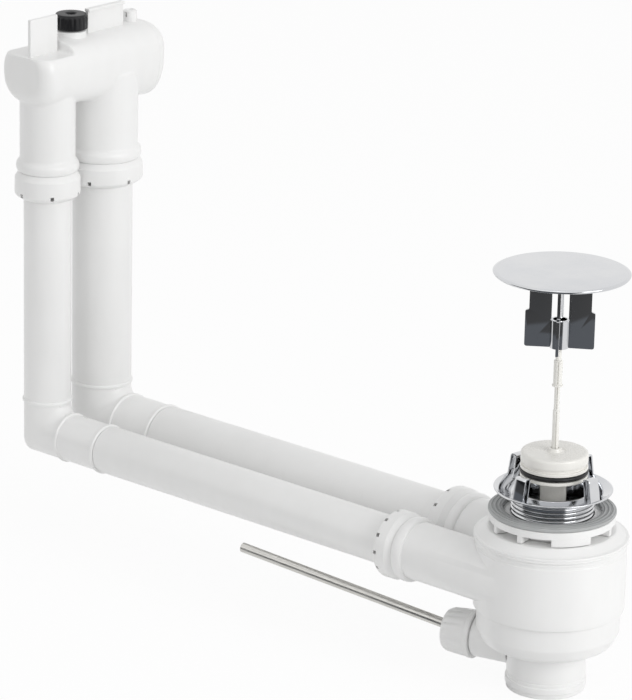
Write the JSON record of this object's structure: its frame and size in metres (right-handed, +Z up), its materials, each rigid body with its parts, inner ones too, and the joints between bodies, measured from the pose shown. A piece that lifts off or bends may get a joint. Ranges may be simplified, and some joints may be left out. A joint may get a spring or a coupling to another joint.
{
  "type": "basin waste with overflow",
  "caption": "Pop-up basin drain with a lift-off cover, a lever, and a body that feeds a pair of L-shaped pipes to an overflow head.",
  "frame": {"origin": "on the drain axis, on top of the gasket, where the basin's underside rests", "axes": "+Z up along the drain axis, -X along the level pipes towards the overflow head, -Y towards the front pipe and the lever"},
  "size_m": [0.3918, 0.0985, 0.297],
  "materials": {
    "white_plastic": "satin white polypropylene",
    "cream_plastic": "satin off-white acetal",
    "chrome": "polished",
    "steel": "drawn",
    "grey_rubber": "matt",
    "black_rubber": "matt",
    "black_plastic": "matt"
  },
  "bodies": {
    "waste_body": {"strainer_flange": "chrome", "spring_clip_1": "chrome", "spring_clip_2": "chrome", "spring_clip_3": "chrome", "spring_clip_4": "chrome", "seat_tube": "white_plastic", "basin_gasket": "grey_rubber", "crown_nut": "white_plastic", "body_lid": "white_plastic", "lid_seal": "black_rubber", "body_casing": "white_plastic", "flow_divider": "white_plastic", "guide_spider": "white_plastic", "lower_bowl": "white_plastic", "bowl_seal": "black_rubber", "ball_seat": "black_rubber", "ball_gland": "white_plastic", "lever_nut": "white_plastic", "body_nut_front": "white_plastic", "body_nut_back": "white_plastic", "body_pipe_seal_front": "black_rubber", "body_pipe_seal_back": "black_rubber"},
    "plunger": {"plunger_rod": "cream_plastic", "column_sleeve": "cream_plastic", "piston": "cream_plastic", "piston_o_ring": "black_rubber", "cover_pin": "cream_plastic"},
    "cover": {"cover_disc": "chrome", "cover_cage": "chrome", "cover_stem": "chrome"},
    "lever": {"lever_rod": "steel", "lever_ball": "white_plastic"},
    "risers": {"level_pipe_front": "white_plastic", "level_pipe_back": "white_plastic", "elbow_front": "white_plastic", "elbow_back": "white_plastic", "riser_pipe_front": "white_plastic", "riser_pipe_back": "white_plastic"},
    "head": {"head_casing": "white_plastic", "head_end_cap": "white_plastic", "weir_plate": "white_plastic", "knob_bush": "white_plastic", "vent_stud": "white_plastic", "head_nut_front": "white_plastic", "head_nut_back": "white_plastic", "head_pipe_seal_front": "black_rubber", "head_pipe_seal_back": "black_rubber"},
    "knob": {"knob": "black_plastic"}
  },
  "joints": [
    {"name": "plunger_lift", "type": "slide", "parent": "waste_body", "child": "plunger", "axis": [0, 0, 1], "range_m": [-0.0123, 0]},
    {"name": "cover_lift", "type": "slide", "parent": "plunger", "child": "cover", "axis": [0, 0, 1], "range_m": [0, 0.03]},
    {"name": "lever_swing", "type": "hinge", "parent": "waste_body", "child": "lever", "pos_m": [-0.04269, -0.01064, -0.0773], "axis": [0.2419, -0.9703, 0], "range_deg": [0, 15.5]},
    {"name": "riser_slide", "type": "slide", "parent": "waste_body", "child": "risers", "axis": [1, 0, 0], "range_m": [-0.012, 0.012]},
    {"name": "head_slide", "type": "slide", "parent": "risers", "child": "head", "axis": [0, 0, 1], "range_m": [-0.01, 0.015]},
    {"name": "knob_turn", "type": "hinge", "parent": "head", "child": "knob", "pos_m": [-0.333, -0.0062, 0.1878], "axis": [0, 0, 1], "range_deg": [-180, 180]}
  ]
}
